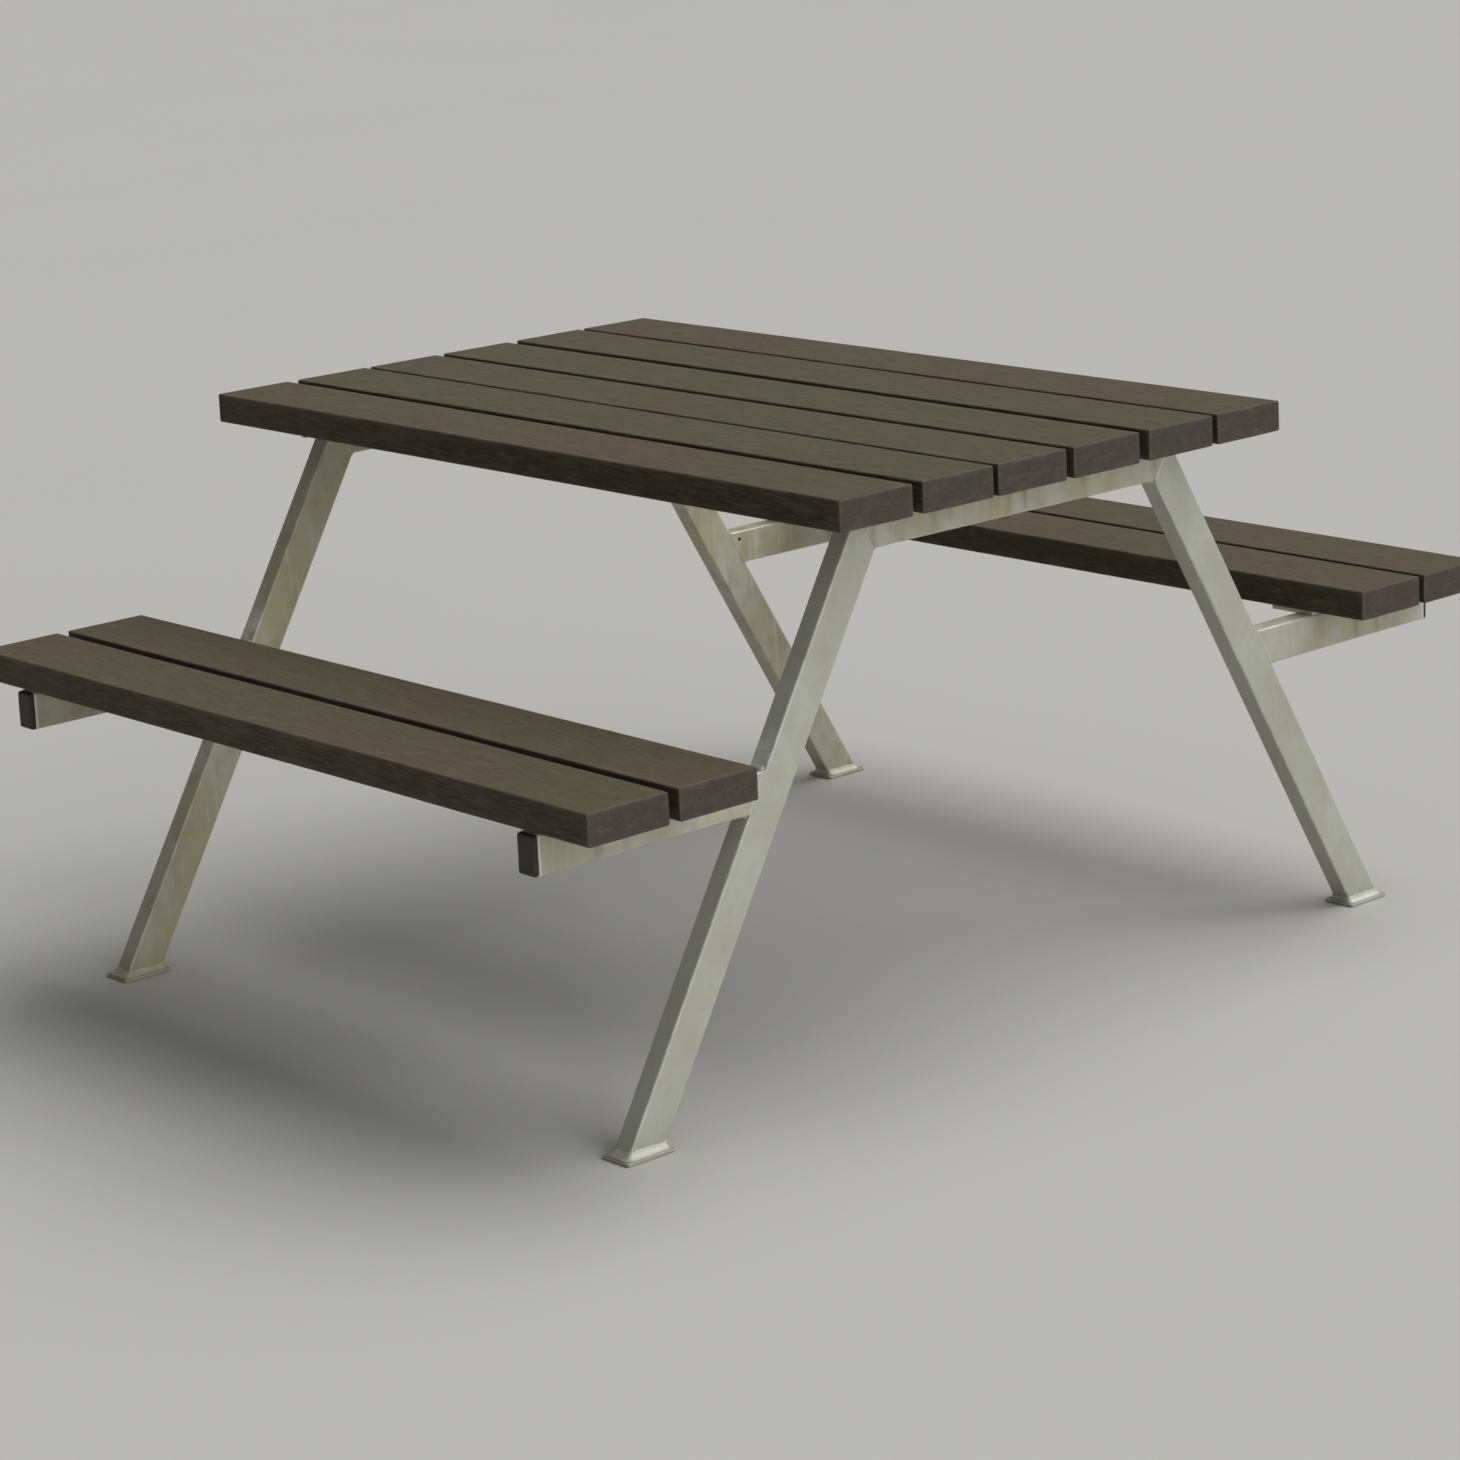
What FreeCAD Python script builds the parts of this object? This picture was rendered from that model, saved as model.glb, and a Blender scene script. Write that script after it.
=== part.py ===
import FreeCAD, Part
import os
import re
import Sketcher
from FreeCAD import Vector

# Picnic table: recycled-plastic planks on two welded frames of galvanised rectangular tube.
# +X runs along the planks, +Y from the front bench to the back bench, +Z is up.
# The origin is on the ground, in the middle of the footprint. Millimetres and degrees.

os.makedirs("parts", exist_ok=True)
doc = FreeCAD.newDocument("picnic_table")

SIZES = {
    "top_height": (750, "ground to the upper face of the table top"),
    "seat_height": (470, "ground to the upper face of the seats"),
    "plank_length": (1260, "every plank is cut to this length"),
    "plank_width": (120, "plank section, across"),
    "plank_thick": (40, "plank section, up and down"),
    "plank_arris": (2.5, "rounding of the long edges of a plank"),
    "gap_one": (16, "gap between top planks one and two"),
    "gap_two": (8, "gap between top planks two and three"),
    "gap_three": (13, "gap between top planks three and four"),
    "gap_four": (17, "gap between top planks four and five"),
    "gap_five": (9, "gap between top planks five and six"),
    "top_drift_back": (14, "how far the top sits towards the back bench"),
    "top_drift_left": (13, "how far the top planks sit towards -X"),
    "bench_drift_right": (13, "how far the front seat planks sit towards +X"),
    "seat_inner": (552, "frame centre to the inner edge of a seat"),
    "seat_gap": (10, "gap between the two planks of a seat"),
    "front_gap_more": (5.5, "how much wider that gap is on the front seat"),
    "frame_span": (1080, "outer face to outer face of the two frames"),
    "tube_width": (30, "tube section along X"),
    "tube_depth": (50, "tube section in the plane of the frame"),
    "tube_wall": (3, "wall of the tube"),
    "tube_radius": (4, "outer corner radius of the tube"),
    "leg_slope": (30, "slope of a leg from upright"),
    "rail_inset": (113.5, "outer edge of the top back to the outer top corner of the mitre"),
    "arm_inset": (10, "outer edge of a seat back to the open end of its arm"),
    "vent_diameter": (6, "zinc drain hole in a seat arm"),
    "vent_inset": (18.5, "drain hole to the upper root corner of the arm"),
    "vent_drop": (13, "drain hole below the upper face of the arm"),
    "cap_thick": (8, "flange of a plastic end cap"),
    "cap_plug": (20, "length of the plug of an end cap"),
    "cap_clear": (0.3, "clearance of the plug in the tube"),
    "foot_length": (75, "foot plate, across the table"),
    "foot_width": (50, "foot plate, along X"),
    "foot_thick": (5, "foot plate"),
    "foot_radius": (3, "corners of a foot plate"),
    "strip_width": (40, "how far a carrier strip stands in from its tube"),
    "strip_thick": (5, "carrier strip under the planks"),
    "strip_inset": (20, "end of a carrier strip to the edge of the outer plank"),
    "strip_tuck": (3, "inner end of a seat strip to the edge of the inner plank"),
    "screw_pitch": (50, "distance between the two screws of a plank"),
    "screw_diameter": (6, "shank of a screw"),
    "screw_length": (35, "screw under its head"),
    "screw_point": (6, "length of the tapered point"),
    "screw_flats": (10, "hexagon head across the flats"),
    "screw_head": (4, "height of the head"),
    "hole_clear": (0.5, "clearance round a screw in strip and washer"),
    "pilot_clear": (0.1, "clearance round a screw in a plank"),
    "pilot_spare": (2, "pilot hole beyond the point of the screw"),
    "washer_diameter": (18, "washer, outside"),
    "washer_thick": (1.5, "washer"),
    "weld_side": (6, "side of the fillet welds at the arm roots"),
    "bead_side": (4, "side of the small fillet welds"),
    "stitch_length": (30, "length of a stitch weld on a carrier strip"),
    "stitch_pitch": (195, "distance between the stitch welds of the top strip"),
}

TOP_GAPS = ["gap_one", "gap_two", "gap_three", "gap_four", "gap_five"]
FRAMES = {"right": 1, "left": -1}
BENCHES = {"front": -1, "back": 1}

sheet = doc.addObject("Spreadsheet::Sheet", "sizes")
for row, (alias, (number, note)) in enumerate(SIZES.items(), start=1):
    sheet.set(f"A{row}", alias)
    sheet.set(f"B{row}", str(number))
    sheet.setAlias(f"B{row}", alias)
    sheet.set(f"C{row}", note)
doc.recompute()

# Levels and places that follow from the sizes, as formulas
RAIL_TOP = "(top_height - plank_thick)"
SEAT_BASE = "(seat_height - plank_thick)"
ARM_TOP = "(seat_height - plank_thick - strip_thick)"
ARM_LOW = "(seat_height - plank_thick - strip_thick - tube_depth)"
TOP_DEPTH = "(6 * plank_width + " + " + ".join(TOP_GAPS) + ")"
RAIL_HALF = f"({TOP_DEPTH} / 2 - rail_inset)"
SEAT_OUTER = "(seat_inner + 2 * plank_width + seat_gap)"
ARM_REACH = "(seat_inner + 2 * plank_width + seat_gap - arm_inset)"
TUBE_CENTRE = "(frame_span / 2 - tube_width / 2)"
STRIP_CENTRE = "(frame_span / 2 - tube_width - strip_width / 2)"
PLANK_SCREW_DEPTH = "(screw_length - strip_thick - washer_thick)"


def in_sheet(formula):
    """The same formula with each size written as a cell of the sheet."""
    return re.sub(r"[a-z_]+", lambda word: f"sizes.{word[0]}" if word[0] in SIZES else word[0], formula)


def value(formula):
    return float(sheet.evalExpression(in_sheet(formula)))


def bind(thing, name, formula):
    thing.setExpression(name, in_sheet(formula))


def leg_outside(level):
    """Distance of a leg's outer face from the frame centre at a level."""
    return f"({RAIL_HALF} + ({RAIL_TOP} - {level}) * tan(leg_slope))"


def leg_inside(level):
    return f"({leg_outside(level)} - tube_depth / cos(leg_slope))"


def new_body(label, x="0", y="0", z="0"):
    body = doc.addObject("PartDesign::Body", label)
    body.Label = label
    bind(body, "Placement.Base.x", x)
    bind(body, "Placement.Base.y", y)
    bind(body, "Placement.Base.z", z)
    return body


def new_sketch(body, plane):
    sketch = body.newObject("Sketcher::SketchObject", f"{body.Name}_sketch")
    support = next(item for item in body.Origin.OriginFeatures if item.Role == f"{plane}_Plane")
    sketch.AttachmentSupport = [(support, "")]
    sketch.MapMode = "FlatFace"
    return sketch


def pin(sketch, geometry, point, across, up):
    """Hold one point of a sketch at two formulas, measured from the sketch's origin."""
    for direction, formula in (("DistanceX", across), ("DistanceY", up)):
        rule = Sketcher.Constraint(direction, -1, 1, geometry, point, value(formula))
        bind(sketch, f"Constraints[{sketch.addConstraint(rule)}]", formula)


def draw_outline(sketch, corners):
    """A closed outline of straight lines, each corner given by two formulas."""
    first = sketch.GeometryCount
    count = len(corners)
    places = [Vector(value(across), value(up), 0) for across, up in corners]
    for start, end in zip(places, places[1:] + places[:1]):
        sketch.addGeometry(Part.LineSegment(start, end), False)
    for index, (across, up) in enumerate(corners):
        following = first + (index + 1) % count
        sketch.addConstraint(Sketcher.Constraint("Coincident", first + index, 2, following, 1))
        pin(sketch, first + index, 1, across, up)


def draw_circle(sketch, across, up, radius):
    circle = Part.Circle(Vector(value(across), value(up), 0), Vector(0, 0, 1), value(radius))
    index = sketch.addGeometry(circle, False)
    pin(sketch, index, 3, across, up)
    rule = sketch.addConstraint(Sketcher.Constraint("Radius", index, value(radius)))
    bind(sketch, f"Constraints[{rule}]", radius)


def rectangle(low_across, low_up, high_across, high_up):
    return [(low_across, low_up), (high_across, low_up), (high_across, high_up), (low_across, high_up)]


def pad(body, sketch, length, side_type="One side"):
    feature = body.newObject("PartDesign::Pad", f"{body.Name}_pad")
    feature.Profile = sketch
    feature.SideType = side_type
    bind(feature, "Length", length)
    doc.recompute()
    return feature


def pocket(body, sketch, length, side_type="One side", turned=False):
    """Cut a sketch out of the body, and check that the cut took something away."""
    before = body.Shape.Volume
    feature = body.newObject("PartDesign::Pocket", f"{body.Name}_pocket")
    feature.Profile = sketch
    feature.SideType = side_type
    feature.Reversed = turned
    bind(feature, "Length", length)
    doc.recompute()
    if body.Shape.Volume > before - 1:
        raise SystemExit(f"the pocket in {body.Label} cuts nothing")
    return feature


def round_edges(body, direction, radius):
    """Round the straight edges that run along one direction."""
    feature = body.Tip
    names = []
    for index, edge in enumerate(feature.Shape.Edges, start=1):
        along = edge.tangentAt(edge.FirstParameter)
        if along.cross(direction.normalize()).Length < 1e-6:
            names.append(f"Edge{index}")
    fillet = body.newObject("PartDesign::Fillet", f"{body.Name}_rounding")
    fillet.Base = (feature, names)
    bind(fillet, "Radius", radius)
    doc.recompute()


def along_leg(bench):
    turn = FreeCAD.Rotation(Vector(1, 0, 0), bench * value("leg_slope"))
    return turn.multVec(Vector(0, 0, 1))


def side_tube(label, side, corners, hollow, direction):
    """A tube of a frame: its side view padded to the tube's width, rounded and hollowed out."""
    body = new_body(label, x=f"{side} * {TUBE_CENTRE}")
    sketch = new_sketch(body, "YZ")
    draw_outline(sketch, corners)
    pad(body, sketch, "tube_width", "Symmetric")
    round_edges(body, direction, "tube_radius")
    bore = new_sketch(body, "YZ")
    draw_outline(bore, hollow)
    pocket(body, bore, "tube_width - 2 * tube_wall", "Symmetric")
    return body


# ---- frames ----

def top_rail(name, side):
    """The upper tube of a frame, mitred at both ends onto the legs."""
    low = f"({RAIL_TOP} - tube_depth)"
    inner = leg_inside(low)
    corners = [(f"-{RAIL_HALF}", RAIL_TOP), (RAIL_HALF, RAIL_TOP), (inner, low), (f"-{inner}", low)]
    hollow = rectangle(f"-{RAIL_HALF}", f"{low} + tube_wall", RAIL_HALF, f"{RAIL_TOP} - tube_wall")
    return side_tube(f"top_rail_{name}", side, corners, hollow, Vector(0, 1, 0))


def leg(name, side, bench_name, bench):
    """A sloping leg: mitred under the rail's end at the top, level on its foot plate below."""
    mitre = f"({RAIL_TOP} - tube_depth)"
    skin = "tube_wall / cos(leg_slope)"
    above = f"({RAIL_TOP} + tube_depth)"
    below = "(foot_thick - tube_depth)"
    corners = [
        (f"{bench} * {RAIL_HALF}", RAIL_TOP),
        (f"{bench} * {leg_inside(mitre)}", mitre),
        (f"{bench} * {leg_inside('foot_thick')}", "foot_thick"),
        (f"{bench} * {leg_outside('foot_thick')}", "foot_thick"),
    ]
    hollow = [
        (f"{bench} * ({leg_outside(above)} - {skin})", above),
        (f"{bench} * ({leg_inside(above)} + {skin})", above),
        (f"{bench} * ({leg_inside(below)} + {skin})", below),
        (f"{bench} * ({leg_outside(below)} - {skin})", below),
    ]
    return side_tube(f"{bench_name}_leg_{name}", side, corners, hollow, along_leg(bench))


def seat_arm(name, side, bench_name, bench):
    """A level tube welded to the outside of a leg, with a zinc drain hole near its root."""
    corners = [
        (f"{bench} * {leg_outside(ARM_TOP)}", ARM_TOP),
        (f"{bench} * {ARM_REACH}", ARM_TOP),
        (f"{bench} * {ARM_REACH}", ARM_LOW),
        (f"{bench} * {leg_outside(ARM_LOW)}", ARM_LOW),
    ]
    root = f"({leg_outside(ARM_TOP)} - tube_depth)"
    hollow = rectangle(
        f"{bench} * {root}", f"{ARM_LOW} + tube_wall",
        f"{bench} * ({ARM_REACH} + tube_depth)", f"{ARM_TOP} - tube_wall")
    body = side_tube(f"{bench_name}_arm_{name}", side, corners, hollow, Vector(0, 1, 0))
    drain = new_sketch(body, "YZ")
    draw_circle(
        drain, f"{bench} * ({leg_outside(ARM_TOP)} + vent_inset)", f"{ARM_TOP} - vent_drop",
        "vent_diameter / 2")
    pocket(body, drain, "tube_width", turned=side < 0)
    return body


def end_cap(name, side, bench_name, bench):
    """A plastic cap: a flange over the end of the arm and a plug inside it."""
    body = new_body(f"{bench_name}_cap_{name}", x=f"{side} * {TUBE_CENTRE}")
    flange = new_sketch(body, "YZ")
    draw_outline(flange, rectangle(
        f"{bench} * {ARM_REACH}", ARM_LOW, f"{bench} * ({ARM_REACH} + cap_thick)", ARM_TOP))
    pad(body, flange, "tube_width", "Symmetric")
    round_edges(body, Vector(0, 1, 0), "tube_radius")
    plug = new_sketch(body, "YZ")
    draw_outline(plug, rectangle(
        f"{bench} * ({ARM_REACH} - cap_plug)", f"{ARM_LOW} + tube_wall + cap_clear",
        f"{bench} * {ARM_REACH}", f"{ARM_TOP} - tube_wall - cap_clear"))
    pad(body, plug, "tube_width - 2 * tube_wall - 2 * cap_clear", "Symmetric")
    return body


def foot_plate(name, side, bench_name, bench):
    centre = f"(({leg_outside('foot_thick')} + {leg_inside('foot_thick')}) / 2)"
    body = new_body(f"{bench_name}_foot_{name}", x=f"{side} * {TUBE_CENTRE}", y=f"{bench} * {centre}")
    sketch = new_sketch(body, "XY")
    draw_outline(sketch, rectangle(
        "-foot_width / 2", "-foot_length / 2", "foot_width / 2", "foot_length / 2"))
    pad(body, sketch, "foot_thick")
    round_edges(body, Vector(0, 0, 1), "foot_radius")
    return body


# ---- planks and the carrier strips they are screwed to ----

def top_plank_centre(index):
    """Y of the middle of a top plank, counted from the front."""
    gaps = "".join(f" + {gap}" for gap in TOP_GAPS[:index])
    return f"(top_drift_back - {TOP_DEPTH} / 2 + {index + 0.5} * plank_width{gaps})"


def seat_plank_centre(bench, index):
    """Y of the middle of a seat plank; 0 is the inner plank and 1 the outer one."""
    inward = " - front_gap_more" if bench < 0 and index == 0 else ""
    return f"({bench} * (seat_inner + {index + 0.5} * plank_width + {index} * seat_gap{inward}))"


def plank(label, drift, centre, underside):
    """A plank with four blind pilot holes in its underside."""
    body = new_body(label, x=drift, y=centre, z=underside)
    section = new_sketch(body, "YZ")
    draw_outline(section, rectangle("-plank_width / 2", "0", "plank_width / 2", "plank_thick"))
    pad(body, section, "plank_length", "Symmetric")
    round_edges(body, Vector(1, 0, 0), "plank_arris")
    holes = new_sketch(body, "XY")
    for side in FRAMES.values():
        for end in (-1, 1):
            draw_circle(
                holes, f"{side} * {STRIP_CENTRE} - ({drift})", f"{end} * screw_pitch / 2",
                "screw_diameter / 2 + pilot_clear")
    pocket(body, holes, f"{PLANK_SCREW_DEPTH} + pilot_spare", turned=True)
    return body


def carrier_strip(label, side, start, end, underside, over_tube, screw_rows):
    """A flat strip on the inner side of a tube, drilled for the plank screws.

    over_tube is how far it also runs out over the tube: nothing beside the top rail, where it
    lies level with the rail, and the whole tube on a seat arm.
    """
    body = new_body(label, x=f"{side} * {STRIP_CENTRE}", z=f"{underside} - strip_thick")
    sketch = new_sketch(body, "XY")
    draw_outline(sketch, rectangle(
        f"{side} * -strip_width / 2", start, f"{side} * (strip_width / 2 + {over_tube})", end))
    pad(body, sketch, "strip_thick")
    holes = new_sketch(body, "XY")
    for row_place in screw_rows:
        draw_circle(holes, "0", row_place, "screw_diameter / 2 + hole_clear")
    pocket(body, holes, "strip_thick", turned=True)
    return body


def screw_rows(centres):
    return [f"({centre} + {end} * screw_pitch / 2)" for centre in centres for end in (-1, 1)]


# ---- fasteners and welds, drawn once and repeated ----

def master_screw():
    """A hexagon head wood screw, head down, with the bearing face of its head at zero."""
    head = doc.addObject("Part::Prism", "screw_head")
    head.Polygon = 6
    bind(head, "Circumradius", "screw_flats / 2 / cos(30)")
    bind(head, "Height", "screw_head")
    bind(head, "Placement.Base.z", "-screw_head")
    shank = doc.addObject("Part::Cylinder", "screw_shank")
    bind(shank, "Radius", "screw_diameter / 2")
    bind(shank, "Height", "screw_length - screw_point")
    point = doc.addObject("Part::Cone", "screw_point")
    bind(point, "Radius1", "screw_diameter / 2")
    bind(point, "Radius2", "screw_diameter / 12")
    bind(point, "Height", "screw_point")
    bind(point, "Placement.Base.z", "screw_length - screw_point")
    screw = doc.addObject("Part::MultiFuse", "master_screw")
    screw.Shapes = [head, shank, point]
    return screw


def master_washer():
    disc = doc.addObject("Part::Cylinder", "washer_disc")
    bind(disc, "Radius", "washer_diameter / 2")
    bind(disc, "Height", "washer_thick")
    hole = doc.addObject("Part::Cylinder", "washer_hole")
    bind(hole, "Radius", "screw_diameter / 2 + hole_clear")
    bind(hole, "Height", "washer_thick")
    washer = doc.addObject("Part::Cut", "master_washer")
    washer.Base = disc
    washer.Tool = hole
    return washer


def master_stitch(side):
    """A fillet weld under a carrier strip, against the inner side of the tube."""
    body = new_body("master_stitch_right" if side > 0 else "master_stitch_left")
    sketch = new_sketch(body, "XZ")
    draw_outline(sketch, [("0", "0"), (f"{side} * -weld_side", "0"), ("0", "-weld_side")])
    pad(body, sketch, "stitch_length", "Symmetric")
    return body


def group(label, master, places):
    """Copies of one solid at several places, kept together in one node."""
    copies = []
    for x, y, z in places:
        copy = doc.addObject("App::Link", f"{label}_copy")
        copy.LinkedObject = master
        bind(copy, "Placement.Base.x", x)
        bind(copy, "Placement.Base.y", y)
        bind(copy, "Placement.Base.z", z)
        copies.append(copy)
    compound = doc.addObject("Part::Compound", label)
    compound.Label = label
    compound.Links = copies
    return compound


def weld_group(label, side, outlines):
    """Fillet welds across the flat of the tube, drawn together in side view."""
    body = new_body(label, x=f"{side} * {TUBE_CENTRE}")
    body.AllowCompound = True
    sketch = new_sketch(body, "YZ")
    for corners in outlines:
        draw_outline(sketch, corners)
    pad(body, sketch, "tube_width - 2 * tube_radius", "Symmetric")
    return body


def corner_welds(name, side):
    """One weld inside each corner of rail and leg."""
    level = f"({RAIL_TOP} - tube_depth)"
    outlines = []
    for bench in BENCHES.values():
        corner = leg_inside(level)
        outlines.append([
            (f"{bench} * {corner}", level),
            (f"{bench} * ({corner} - bead_side)", level),
            (f"{bench} * ({corner} + bead_side * sin(leg_slope))", f"{level} - bead_side * cos(leg_slope)"),
        ])
    return weld_group(f"corner_welds_{name}", side, outlines)


def arm_welds(name, side):
    """Two welds at the root of each seat arm, above and below."""
    outlines = []
    for bench in BENCHES.values():
        upper = leg_outside(ARM_TOP)
        lower = leg_outside(ARM_LOW)
        outlines.append([
            (f"{bench} * {upper}", ARM_TOP),
            (f"{bench} * ({upper} + bead_side)", ARM_TOP),
            (f"{bench} * ({upper} - bead_side * sin(leg_slope))", f"{ARM_TOP} + bead_side * cos(leg_slope)"),
        ])
        outlines.append([
            (f"{bench} * {lower}", ARM_LOW),
            (f"{bench} * ({lower} + weld_side)", ARM_LOW),
            (f"{bench} * ({lower} + weld_side * sin(leg_slope))", f"{ARM_LOW} - weld_side * cos(leg_slope)"),
        ])
    return weld_group(f"arm_welds_{name}", side, outlines)


def foot_welds(name, side):
    """Two welds across each foot plate, outside and inside the leg."""
    outlines = []
    for bench in BENCHES.values():
        outer = leg_outside("foot_thick")
        inner = leg_inside("foot_thick")
        outlines.append([
            (f"{bench} * {outer}", "foot_thick"),
            (f"{bench} * ({outer} + bead_side)", "foot_thick"),
            (f"{bench} * ({outer} - bead_side * sin(leg_slope))", "foot_thick + bead_side * cos(leg_slope)"),
        ])
        outlines.append([
            (f"{bench} * {inner}", "foot_thick"),
            (f"{bench} * ({inner} - bead_side)", "foot_thick"),
            (f"{bench} * ({inner} - bead_side * sin(leg_slope))", "foot_thick + bead_side * cos(leg_slope)"),
        ])
    return weld_group(f"foot_welds_{name}", side, outlines)


# ---- assembly ----

pieces = []
screw = master_screw()
washer = master_washer()
top_rows = screw_rows([top_plank_centre(index) for index in range(6)])
seat_rows = {
    bench_name: screw_rows([seat_plank_centre(bench, index) for index in range(2)])
    for bench_name, bench in BENCHES.items()
}

for index in range(6):
    pieces.append(plank(f"top_plank_{index + 1}", "-top_drift_left", top_plank_centre(index), RAIL_TOP))
for bench_name, bench in BENCHES.items():
    drift = "bench_drift_right" if bench_name == "front" else "0"
    for index, row_name in enumerate(["inner", "outer"]):
        label = f"{bench_name}_seat_plank_{row_name}"
        pieces.append(plank(label, drift, seat_plank_centre(bench, index), SEAT_BASE))

for name, side in FRAMES.items():
    pieces.append(top_rail(name, side))
    top_edge = f"({TOP_DEPTH} / 2 - strip_inset)"
    pieces.append(carrier_strip(
        f"top_strip_{name}", side, f"top_drift_back - {top_edge}", f"top_drift_back + {top_edge}",
        RAIL_TOP, "0", top_rows))
    stitch = master_stitch(side)
    stitch_x = f"{side} * ({TUBE_CENTRE} - tube_width / 2)"
    stitch_places = [
        (stitch_x, f"{step} * stitch_pitch", f"{RAIL_TOP} - strip_thick") for step in (-1, 0, 1)]
    for bench_name, bench in BENCHES.items():
        pieces.append(leg(name, side, bench_name, bench))
        pieces.append(seat_arm(name, side, bench_name, bench))
        pieces.append(end_cap(name, side, bench_name, bench))
        pieces.append(foot_plate(name, side, bench_name, bench))
        inward = " - front_gap_more" if bench < 0 else ""
        near = f"(seat_inner + strip_tuck{inward})"
        far = f"({SEAT_OUTER} - strip_inset)"
        pieces.append(carrier_strip(
            f"{bench_name}_strip_{name}", side, f"{bench} * {near}", f"{bench} * {far}",
            SEAT_BASE, "tube_width", seat_rows[bench_name]))
        for index in range(2):
            centre = seat_plank_centre(bench, index)
            stitch_places.append((stitch_x, centre, ARM_TOP))
    pieces.append(corner_welds(name, side))
    pieces.append(arm_welds(name, side))
    pieces.append(foot_welds(name, side))
    pieces.append(group(f"strip_welds_{name}", stitch, stitch_places))

    screw_x = f"{side} * {STRIP_CENTRE}"
    for area, rows, level in (
        ("top", top_rows, RAIL_TOP),
        ("front_seat", seat_rows["front"], SEAT_BASE),
        ("back_seat", seat_rows["back"], SEAT_BASE),
    ):
        bearing = f"{level} - strip_thick - washer_thick"
        places = [(screw_x, row_place, bearing) for row_place in rows]
        pieces.append(group(f"{area}_screws_{name}", screw, places))
        pieces.append(group(f"{area}_washers_{name}", washer, places))

doc.recompute()

for item in doc.Objects:
    if "Invalid" in item.State or "Error" in item.State:
        raise SystemExit(f"{item.Label} failed: {item.State}")
for piece in pieces:
    if piece.Shape.isNull() or not piece.Shape.isValid():
        raise SystemExit(f"{piece.Label} has no valid shape")
for piece in pieces:
    piece.Shape.exportStep(f"parts/{piece.Label}.step")
print(f"{len(pieces)} parts written")
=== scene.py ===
import math
from functools import partial
from itertools import product

import bmesh
import bpy
import numpy as np
from mathutils import Matrix, Vector


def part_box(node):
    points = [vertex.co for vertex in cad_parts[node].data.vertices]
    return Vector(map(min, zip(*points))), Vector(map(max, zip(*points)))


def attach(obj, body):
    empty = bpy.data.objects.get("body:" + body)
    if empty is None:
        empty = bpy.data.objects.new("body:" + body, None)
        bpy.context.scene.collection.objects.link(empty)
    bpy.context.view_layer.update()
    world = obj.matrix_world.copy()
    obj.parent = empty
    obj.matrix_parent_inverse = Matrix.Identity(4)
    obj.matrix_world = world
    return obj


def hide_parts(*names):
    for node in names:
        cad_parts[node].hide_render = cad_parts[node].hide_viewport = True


# A picnic table: recycled-plastic boards on two welded frames of galvanised rectangular tube.
# Metres; +X along the boards, +Y from the front bench to the back bench, +Z up.
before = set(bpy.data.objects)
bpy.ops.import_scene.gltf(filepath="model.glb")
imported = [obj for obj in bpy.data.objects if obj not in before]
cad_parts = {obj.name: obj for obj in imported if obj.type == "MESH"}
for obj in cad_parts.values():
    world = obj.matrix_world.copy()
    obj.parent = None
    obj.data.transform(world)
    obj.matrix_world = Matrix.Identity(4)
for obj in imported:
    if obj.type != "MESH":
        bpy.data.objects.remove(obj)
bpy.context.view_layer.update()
print("frame loaded")

frameSides = {"right": 1, "left": -1}
benchSides = {"front": -1, "back": 1}
flatGuard = 0.0004  # from the end of a rounding to the first line of the flat part beside it
mergeDistance = 2e-6


def softNoise(points, cell, seed):
    # Random numbers on a lattice of this cell size, faded into each other by 3t^2 - 2t^3.
    scaled = points / np.broadcast_to(cell, 3) + 500
    base = np.floor(scaled).astype(np.int64)
    part = scaled - base
    part = part * part * (3 - 2 * part)
    table = np.random.default_rng(seed).uniform(-1, 1, 8192)
    total = np.zeros(len(points))
    for corner in product((0, 1), repeat=3):
        key = (base + corner) @ np.array((7919, 104729, 1299709))
        total += np.where(corner, part, 1 - part).prod(axis=1) * table[key % len(table)]
    return total


def bandLines(low, high, radius, spacing, steps=4):
    # Places along one side of a block: even angles through the rounding at both ends, a line
    # just inside each rounding that keeps the flat part flat, and even steps between them.
    turns = np.tan(np.linspace(math.pi / 4, 0, steps + 1))
    count = max(2, round((high - low - 2 * radius) / spacing))
    guard = min(flatGuard, (high - low - 2 * radius) / 8)
    middle = np.linspace(low + radius + guard, high - radius - guard, count)
    return np.concatenate((low + radius * (1 - turns), middle, (high - radius * (1 - turns))[::-1]))


def blockGrid(lines):
    # Six faces of a lattice, each a grid of four-sided faces, sharing the points on their edges.
    counts = [len(line) for line in lines]
    faces = []
    for axis in range(3):
        first, second = (axis + 1) % 3, (axis + 2) % 3
        for side in (0, counts[axis] - 1):
            index = [None] * 3
            index[first], index[second] = np.indices((counts[first], counts[second]))
            index[axis] = np.full_like(index[first], side)
            key = (index[0] * counts[1] + index[1]) * counts[2] + index[2]
            corners = (key[:-1, :-1], key[1:, :-1], key[1:, 1:], key[:-1, 1:])
            face = np.stack(corners, axis=-1).reshape(-1, 4)
            faces.append(face if side else face[:, ::-1])
    used, faces = np.unique(np.concatenate(faces), return_inverse=True)
    place = np.unravel_index(used, counts)
    points = np.stack([line[where] for line, where in zip(lines, place)], axis=1)
    return points, faces.reshape(-1, 4)


def roundBlock(low, high, radii, spacing):
    # Each point of the block is the nearest point of the core, plus the direction away from the
    # core stretched to the radii. The direction comes back too: it is the way the surface faces.
    low, high, radii = (np.array(place, float) for place in (low, high, radii))
    points, faces = blockGrid([bandLines(*side) for side in zip(low, high, radii, spacing)])
    core = np.clip(points, low + radii, high - radii)
    lean = (points - core) / radii
    lean /= np.linalg.norm(lean, axis=1, keepdims=True)
    return core + lean * radii, faces, lean


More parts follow.
